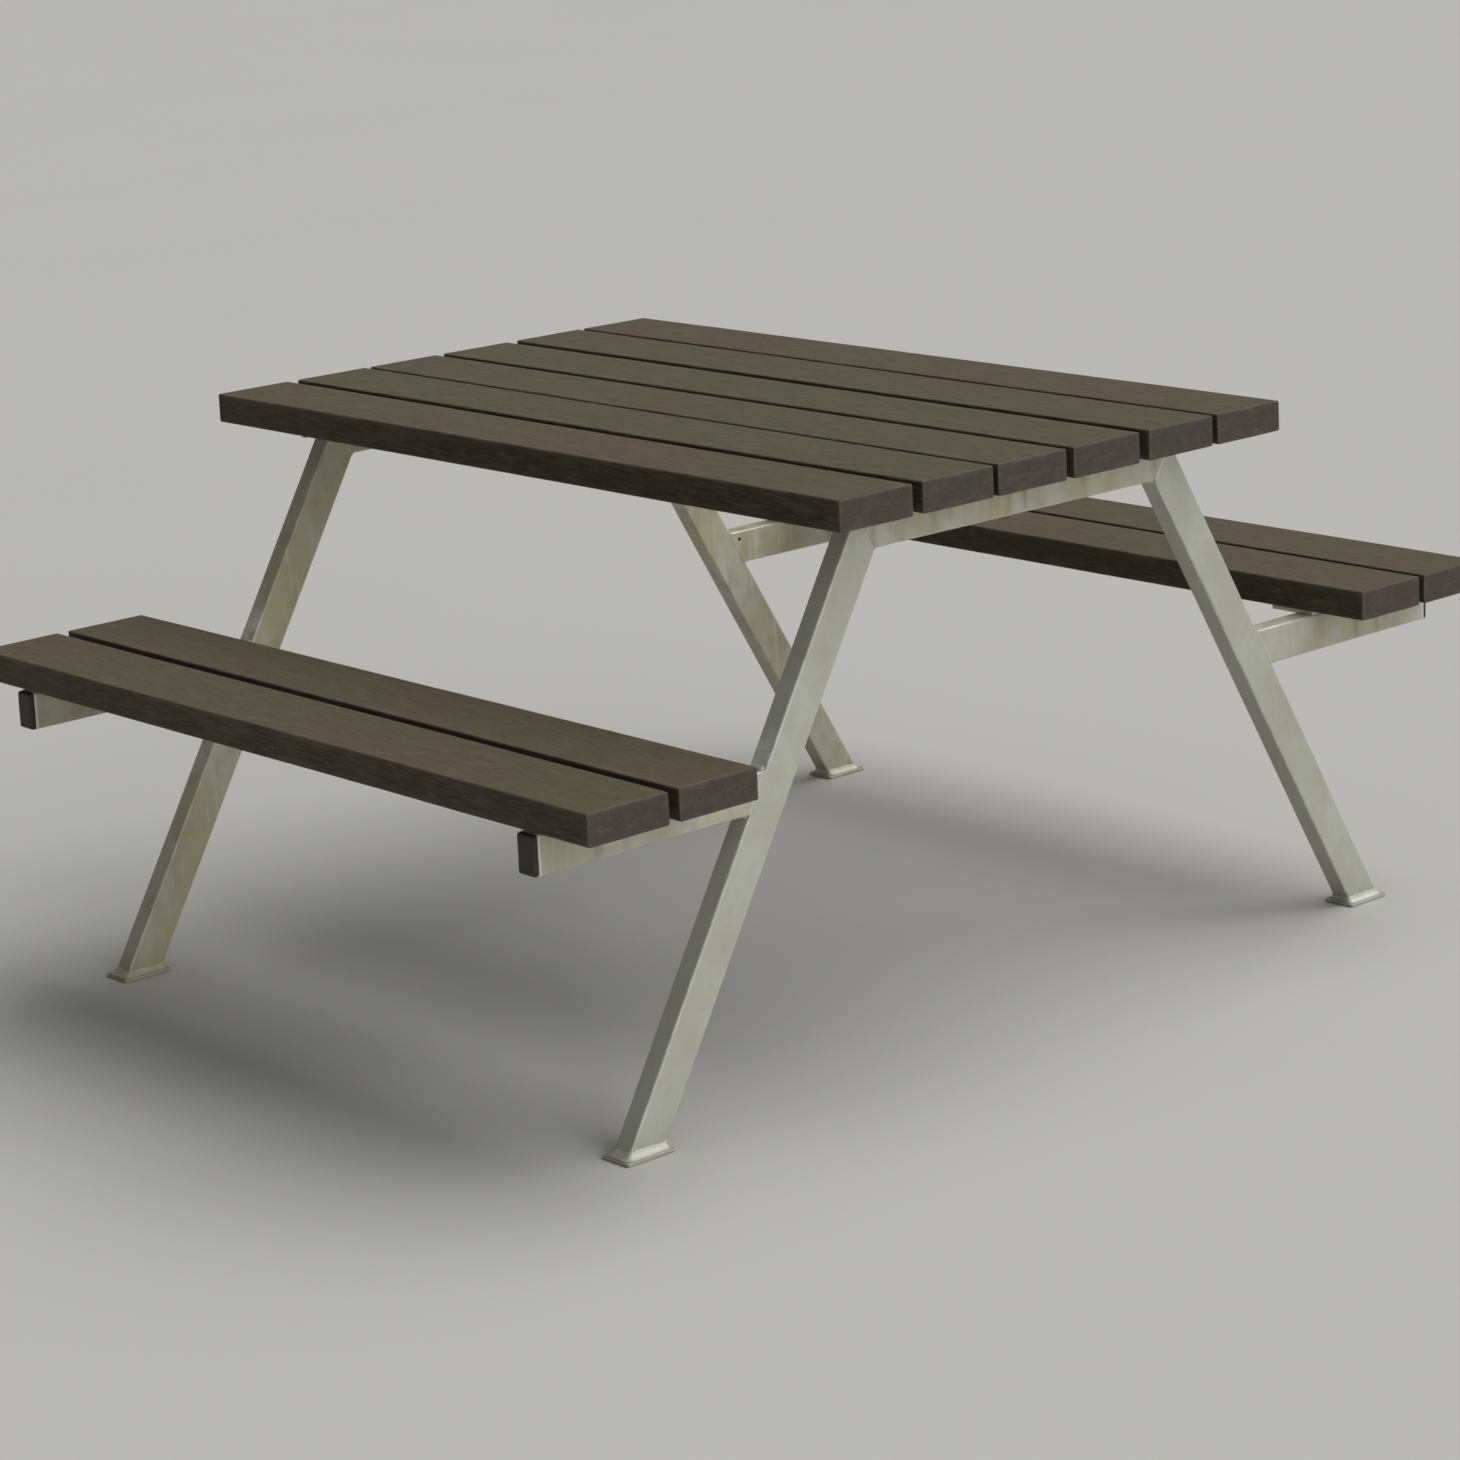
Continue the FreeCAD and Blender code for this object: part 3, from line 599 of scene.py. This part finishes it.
def paintSteel(piece, weatherAndShade, lines=(), top=0, glow=0.0):
    # Stain and shade: the drips, dirt thrown up from the ground, and the undersides darkened as
    # painted shade. Bright: thicker zinc and a painted highlight on the arrises, told by a normal
    # that leans between two faces, broken up by noise, and the glow given.
    places, facing = meshArrays(piece.data)
    marks = dripMarks(places, lines, top, drips["fall"], drips["width"])
    marks *= np.clip(np.abs(facing[:, 0]) * 1.5, 0, 1)
    marks += soilAndShade["strength"] * np.exp(-places[:, 2] / soilAndShade["height"])
    # Undersides darker: painted shade.
    marks += soilAndShade["under"] * np.clip(-facing[:, 2], 0, 1) ** 2
    sideways = np.abs(facing[:, 0])
    # Arrises: thicker zinc, and a painted highlight where the rounding would catch the light.
    arrisZincAndHighlight = np.clip(4 * np.minimum(sideways, np.sqrt(1 - np.clip(sideways, 0, 1) ** 2)) - 0.8, 0, 1)
    broken = np.clip(0.6 + softNoise(places, 0.012, 9) + 0.6 * softNoise(places, 0.05, 10), 0, 1)
    paint(piece, "stainAndShade", np.clip(marks, 0, 1))
    paint(piece, "bright", np.clip(tube["arrisZincAndHighlight"] * arrisZincAndHighlight * broken + glow, 0, 1))
    paint(piece, "weatherAndShade", weatherAndShade)


topGaps = boardGaps([f"top_plank_{number}" for number in range(1, 7)])
frames = {}
for name, side in frameSides.items():
    # The rail's box gives the section of the tubes, and the box of a leg gives their slope.
    low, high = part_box(f"top_rail_{name}")
    legLow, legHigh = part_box(f"back_leg_{name}")
    slope = (legHigh.y - high.y) / (legHigh.z - legLow.z)  # run of a leg for each metre down
    frames[name] = {
        "side": side, "middle": (low.x + high.x) / 2, "width": high.x - low.x, "railHalf": high.y,
        "railTop": high.z, "railBase": low.z, "slope": slope, "footTop": legLow.z,
        "across": (high.z - low.z) * math.hypot(1, slope),  # a leg's depth measured level
    }


def legOuter(made, level):
    return made["railHalf"] + (made["railTop"] - level) * made["slope"]


for name, made in frames.items():
    side, middle, width, across = (made[key] for key in ("side", "middle", "width", "across"))
    railHalf, railTop, railBase = made["railHalf"], made["railTop"], made["railBase"]
    inner = legOuter(made, railBase) - across
    rail = buildPiece(f"rail_tube_{name}", [tubeShell(
        middle, width, (-railHalf, railTop), (-inner, railBase), (railHalf, railTop), (inner, railBase),
        300 + side)], tubeZinc)
    paintSteel(rail, weatherAndShadeByPiece[name]["rail"], [gap + offset for gap in topGaps for offset in drips["top"]], railTop)
    standIn(rail, "galvanised_steel", f"top_rail_{name}")
    for benchName, bench in benchSides.items():
        seed = 400 + 40 * side + 10 * bench
        footLine = legOuter(made, made["footTop"])
        leg = buildPiece(f"leg_tube_{benchName}_{name}", [tubeShell(
            middle, width, (bench * railHalf, railTop), (bench * inner, railBase),
            (bench * footLine, made["footTop"]), (bench * (footLine - across), made["footTop"]),
            seed)], tubeZinc)
        armLow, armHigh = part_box(f"{benchName}_arm_{name}")
        places, facing = meshArrays(leg.data)
        root = np.array((bench * legOuter(made, armHigh.z), armHigh.z + 0.01))
        reach = np.linalg.norm(places[:, 1:] - root, axis=1) / tube["splash"]
        splash = np.exp(-reach ** 4) * np.clip(0.45 + softNoise(places, 0.011, seed + 7), 0, 1)
        paintSteel(leg, weatherAndShadeByPiece[name]["leg"], glow=splash * np.clip(bench * facing[:, 1], 0, 1))
        standIn(leg, "galvanised_steel", f"{benchName}_leg_{name}")

        reach = armHigh.y if bench > 0 else -armLow.y
        upper, lower = legOuter(made, armHigh.z), legOuter(made, armLow.z)
        arm = buildPiece(f"arm_tube_{benchName}_{name}", [tubeShell(
            middle, width, (bench * upper, armHigh.z), (bench * lower, armLow.z),
            (bench * reach, armHigh.z), (bench * reach, armLow.z), seed + 3, openEnd=True)], tubeZinc)
        inset, drop = tube["vent"]
        ventAt = (middle - side * width / 2, bench * (upper + inset), armHigh.z - drop)
        radius = tube["ventRadius"]
        plug = [(0, -2 * radius), (radius, -2 * radius), (radius, 2 * radius), (0, 2 * radius)]
        drill(arm, [turnedShell(plug, 24, (1, 0, 0), ventAt)])
        places, facing = meshArrays(arm.data)
        rim = np.clip((tube["rim"][0] - reach + np.abs(places[:, 1])) / tube["rimFade"], 0, 1)
        seatGaps = boardGaps([f"{benchName}_seat_plank_inner", f"{benchName}_seat_plank_outer"])
        paintSteel(arm, weatherAndShadeByPiece[name]["arm"], [gap + offset for gap in seatGaps for offset in drips["seat"]],
                   armHigh.z, 0.8 * rim)
        standIn(arm, "galvanised_steel", f"{benchName}_arm_{name}")
print("tubes made")


cap = {
    "corner": 0.0035,
    "dome": 0.0045,  # how far the rounding of the face would run back
    "domeShare": 0.8,  # how much of that it takes
    "clear": 0.0003,  # plug to the bore
    "seat": 0.25,  # the same at the tube's end, as a share of the dome
    "step": 0.002,
    "rib": 0.0012,
    "ribs": 5,
    "plug": 0.019,
}
foot = {"corner": 0.0045, "edge": 0.0011, "step": 0.003, "wave": 0.0005}

for name, made in frames.items():
    for benchName, bench in benchSides.items():
        # The flange of a cap, domed outwards, with the plug and its ribs behind it in the tube.
        low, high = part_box(f"{benchName}_cap_{name}")
        armLow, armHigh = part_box(f"{benchName}_arm_{name}")
        tubeEnd = armHigh.y if bench > 0 else armLow.y
        face = [tubeEnd, high.y] if bench > 0 else [low.y, tubeEnd]
        flange, faces, lean = roundBlock(
            (low.x, face[0], low.z), (high.x, face[1], high.z),
            (cap["corner"], cap["dome"] * cap["domeShare"], cap["corner"]), (cap["step"],) * 3)
        flange = flange - lean * (0.0002 * (softNoise(flange, 0.012, 60) + 1))[:, None]
        off = np.abs(flange[:, 1] - tubeEnd)
        near = cap["dome"] * cap["domeShare"]
        flat = np.where(off < near, off * cap["seat"], off - near * (1 - cap["seat"]))
        stretch = (face[1] - face[0]) / ((face[1] - face[0]) - near * (1 - cap["seat"]))
        flange[:, 1] = tubeEnd + bench * flat * stretch
        shells = [(flange, faces)]
        core = tube["wall"] + cap["clear"] + cap["rib"]
        for rib in range(cap["ribs"] + 1):
            grow = cap["rib"] if rib else 0
            start = (rib - 0.5) / cap["ribs"] * 0.018 + 0.001 if rib else -0.0005
            deep = 0.0016 if rib else cap["plug"] + 0.0005
            near, far = sorted((tubeEnd - bench * start, tubeEnd - bench * (start + deep)))
            shells.append(roundBlock(
                (low.x + core - grow, near, low.z + core - grow),
                (high.x - core + grow, far, high.z - core + grow),
                (0.0007, 0.0005, 0.0007), (0.006,) * 3)[:2])
        piece = buildPiece(f"end_plug_{benchName}_{name}", shells, capPlastic)
        standIn(piece, "cap_plastic", f"{benchName}_cap_{name}")

        low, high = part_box(f"{benchName}_foot_{name}")
        plate, faces, lean = roundBlock(
            low, high, (foot["corner"], foot["corner"], foot["edge"]), (foot["step"],) * 3)
        wave = foot["wave"] * (softNoise(plate, 0.017, 80 + made["side"] + bench) + 1) / 2
        plate = plate - lean * wave[:, None] * (lean[:, 2:] > -0.5)
        piece = buildPiece(f"foot_pad_{benchName}_{name}", [(plate, faces)], tubeZinc)
        paintSteel(piece, weatherAndShadeByPiece[name]["leg"])
        standIn(piece, "galvanised_steel", f"{benchName}_foot_{name}")
print("caps and feet made")


weld = {
    "corner": 0.005, "arm": 0.0045, "foot": 0.0075, "stitch": 0.006, "stitchHalf": 0.015,
    "stitchPitch": 0.195,  # between the stitches of a top strip
    "seam": (0.0035, 0.0005),  # half width and height of the dressed seam on an arm's two sides
    "pitch": 0.0035, "ripple": 0.05,
    "glow": 0.12,
}


def beadShell(start, end, legOne, legTwo, swing=90):
    # A bead along a seam: the radius swings from one face over to the other about the root, an
    # ellipse quarter or half, with crescent ripples along it, and it shrinks to nothing at both ends.
    start, end, legOne, legTwo = (np.array(place, float) for place in (start, end, legOne, legTwo))
    length = np.linalg.norm(end - start)
    along = np.linspace(0, 1, max(12, round(length / weld["pitch"] * 6)))[:, None]
    turn = np.linspace(0, math.radians(swing), 9)[None, :]
    taper = np.sqrt(np.clip(1 - np.abs(2 * along - 1) ** 8, 0, 1))
    phase = 2 * math.pi * (along * length / weld["pitch"]) + 1.7 * np.sin(turn * 180 / swing)
    radius = taper * (1 + weld["ripple"] * np.cos(phase))
    root = start + (end - start) * along
    arc = root[:, None] + radius[..., None] * (
        np.cos(turn)[..., None] * legOne + np.sin(turn)[..., None] * legTwo)
    buried = legOne + legTwo if swing < 120 else legTwo
    heart = root[:, None] - 0.12 * taper[..., None] * buried
    return wrapGrid(np.concatenate((arc, heart), axis=1))


def collarShell(middle, centre, level, width, depth, lean, size, seed):
    # A fillet all round the bottom of a leg: from the plate, in a hollow curve, up to the wall.
    outline, facing = ringOutline(width, depth, tube["corner"], 0.0025)
    bend = np.linspace(0, 1, 7)
    around = np.column_stack((middle + outline[:, 0], centre + outline[:, 1], np.full(len(outline), level)))
    ripple = 1 + 0.12 * softNoise(around, 0.006, seed) + 0.2 * softNoise(around, 0.02, seed + 1)
    out = size * (1 - np.sin(bend * math.pi / 2)) ** 0.8
    high = size * (1 - np.cos(bend * math.pi / 2)) ** 0.8
    rows = []
    for away, up in list(zip(out, high)) + [(-0.001, size * 0.9), (-0.001, 0)]:
        away, up = away * ripple, up * ripple
        rows.append(np.column_stack((
            around[:, 0] + facing[:, 0] * away, around[:, 1] + facing[:, 1] * away - lean * up, level + up)))
    return wrapGrid(np.stack(rows), closeRows=True)


def stitchShell(x, y, level, side):
    half, size = weld["stitchHalf"], weld["stitch"]
    return beadShell((x, y - half, level), (x, y + half, level), (-side * size, 0, 0), (0, 0, -size))


for name, made in frames.items():
    side, middle, width, across = (made[key] for key in ("side", "middle", "width", "across"))
    half = width / 2 - tube["corner"]
    down = np.array((0, made["slope"], -1)) / math.hypot(1, made["slope"])  # along the back leg
    edge = middle - side * width / 2
    corners, arms, feet, stitches = [], [], [], []
    for benchName, bench in benchSides.items():
        flip = np.array((1, bench, 1))
        out = np.array((0, bench, 0))
        root = np.array((0, bench * (legOuter(made, made["railBase"]) - across), made["railBase"]))
        corners.append(beadShell(
            root + (middle - half, 0, 0), root + (middle + half, 0, 0),
            -out * weld["corner"], down * flip * weld["corner"]))

        armLow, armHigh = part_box(f"{benchName}_arm_{name}")
        upper = np.array((0, bench * legOuter(made, armHigh.z), armHigh.z))
        lower = np.array((0, bench * legOuter(made, armLow.z), armLow.z))
        for root, turned in ((upper, -1), (lower, 1)):
            arms.append(beadShell(
                root + (middle - half, 0, 0), root + (middle + half, 0, 0),
                out * weld["arm"], turned * down * flip * weld["arm"]))
        for face in (-1, 1):
            wall = (middle + face * (width / 2 - 0.0002), 0, 0)
            seamHalf, proud = weld["seam"]
            seamAcross = np.cross(down * flip, (1, 0, 0)) * seamHalf
            arms.append(beadShell(upper + wall, lower + wall, seamAcross, (face * proud, 0, 0), 180))

        low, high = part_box(f"{benchName}_foot_{name}")
        feet.append(collarShell(
            middle, bench * (legOuter(made, high.z) - across / 2), high.z, width, across,
            bench * made["slope"], weld["foot"], 500 + bench))
        for rowName in ("inner", "outer"):
            low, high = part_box(f"{benchName}_seat_plank_{rowName}")
            stitches.append(stitchShell(edge, (low.y + high.y) / 2, armHigh.z, side))
    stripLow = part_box(f"top_strip_{name}")[0]
    stitches += [stitchShell(edge, step * weld["stitchPitch"], stripLow.z, side) for step in (-1, 0, 1)]
    for kind, shells in (("corner", corners), ("arm", arms), ("foot", feet), ("strip", stitches)):
        piece = buildPiece(f"{kind}_beads_{name}", shells, tubeZinc)
        paint(piece, "stainAndShade", 0.05)
        paint(piece, "bright", weld["glow"])
        paint(piece, "weatherAndShade", weatherAndShadeByPiece[name]["rail"] if kind == "corner" else weatherAndShadeByPiece[name]["leg"])
        standIn(piece, "galvanised_steel", f"{kind}_welds_{name}")
print("welds made")


fixing = {
    "flats": 0.010, "head": 0.004, "shank": 0.003, "length": 0.035, "point": 0.006,
    "washerOuter": 0.009, "washerInner": 0.0035, "washerThick": 0.0015,
}


def screwShell(x, y, bearing):
    # Head down. The hexagon comes from the distance to the nearest flat; its end is chamfered.
    half = fixing["flats"] / 2
    rows = [(0, -fixing["head"]), (half * 0.9, -fixing["head"]), (half, -fixing["head"] * 0.88), (half, 0),
            (fixing["shank"], 0), (fixing["shank"], fixing["length"] - fixing["point"]),
            (0, fixing["length"])]
    points, faces = turnedShell(rows, 12, (0, 0, 1), (0, 0, 0))
    angle = np.arctan2(points[:, 1], points[:, 0])
    nearest = np.abs((angle + math.pi / 6) % (math.pi / 3) - math.pi / 6)
    hexagon = (points[:, 2] > -fixing["head"] * 0.9) & (points[:, 2] <= 1e-6)
    hexagon &= np.hypot(points[:, 0], points[:, 1]) > fixing["shank"] * 1.2
    points[:, :2] *= np.where(hexagon, 1 / np.cos(nearest), 1)[:, None]
    return points + (x, y, bearing), faces


def washerShell(x, y, bearing):
    outer, inner, thick = (fixing[key] for key in ("washerOuter", "washerInner", "washerThick"))
    rows = [(inner, 0), (outer - 0.0004, 0), (outer, 0.0004), (outer, thick - 0.0003),
            (outer - 0.0003, thick), (inner, thick)]
    return turnedShell(rows, 24, (0, 0, 1), (x, y, bearing), closed=True)


fixedBoards = {"top": [f"top_plank_{number}" for number in range(1, 7)]}
for benchName in benchSides:
    fixedBoards[f"{benchName}_seat"] = [f"{benchName}_seat_plank_{rowName}" for rowName in ("inner", "outer")]
for name, x in zip(frameSides, screwLines):
    for area, nodes in fixedBoards.items():
        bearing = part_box(f"{area}_washers_{name}")[0].z
        places = [((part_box(node)[0].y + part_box(node)[1].y) / 2 + step * board["screwPitch"] / 2)
                  for node in nodes for step in (-1, 1)]
        for kind, shell in (("screws", screwShell), ("washers", washerShell)):
            shells = [shell(x, y, bearing) for y in places]
            piece = buildPiece(f"{area}_{kind}_zinc_{name}", shells, screwZinc)
            piece.data.set_sharp_from_angle(angle=math.radians(35))
            standIn(piece, "zinc_plated_steel", f"{area}_{kind}_{name}")
    for area in ("top", "front", "back"):
        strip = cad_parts[f"{area}_strip_{name}"]
        for slot in strip.material_slots:
            slot.material = tubeZinc
print("fixings made")


studio = {
    "lights": {  # where from, spread in degrees, strength
        "side": ((0.94, 0.08, 0.34), 50, 1.1),
        "above": ((0.20, 0.45, 0.87), 60, 2.2),
    },
    "skyColour": "#e4e6e8", "skyStrength": 0.20,
    "lens": 99.21, "shift": (-0.0285, -0.1171),
    "cameraPlace": (3.9803, -3.5073, 1.6827), "cameraTurn": (48.08, -12.27, -2.54),  # yaw, pitch, roll
    "floorSize": 60,
}

for name, (source, spread, strength) in studio["lights"].items():
    light = bpy.data.lights.new(name, "SUN")
    light.angle = math.radians(spread)
    light.energy = strength
    lamp = bpy.data.objects.new(name, light)
    lamp.rotation_euler = (-Vector(source)).to_track_quat("-Z", "Y").to_euler()
    bpy.context.scene.collection.objects.link(lamp)

world = bpy.data.worlds.new("studio")
world.use_nodes = True
background = world.node_tree.nodes["Background"]
background.inputs["Color"].default_value = linearColour(studio["skyColour"])
background.inputs["Strength"].default_value = studio["skyStrength"]
bpy.context.scene.world = world
bpy.context.scene.view_settings.view_transform = "Standard"

edges = np.linspace(-studio["floorSize"], studio["floorSize"], 9)
gridX, gridY = np.meshgrid(edges, edges, indexing="ij")
index = np.arange(gridX.size).reshape(gridX.shape)
cells = np.stack((index[:-1, :-1], index[1:, :-1], index[1:, 1:], index[:-1, 1:]), axis=-1).reshape(-1, 4)
ground = np.stack((gridX, gridY, 0 * gridX), axis=-1).reshape(-1, 3)
floor = buildPiece("floor", [(ground, cells)], studioFloor())

camera = bpy.data.cameras.new("camera")
camera.sensor_width = 36
camera.lens = studio["lens"]
camera.shift_x, camera.shift_y = studio["shift"]
camera.clip_end = 200
viewer = bpy.data.objects.new("camera", camera)
yaw, pitch, roll = (math.radians(angle) for angle in studio["cameraTurn"])
turn = Matrix.Rotation(yaw, 3, "Z") @ Matrix.Rotation(math.pi / 2 + pitch, 3, "X")
turn = turn @ Matrix.Rotation(roll, 3, "Z")
viewer.rotation_euler = turn.to_euler()
viewer.location = studio["cameraPlace"]
bpy.context.scene.collection.objects.link(viewer)
bpy.context.scene.camera = viewer
print("studio made")
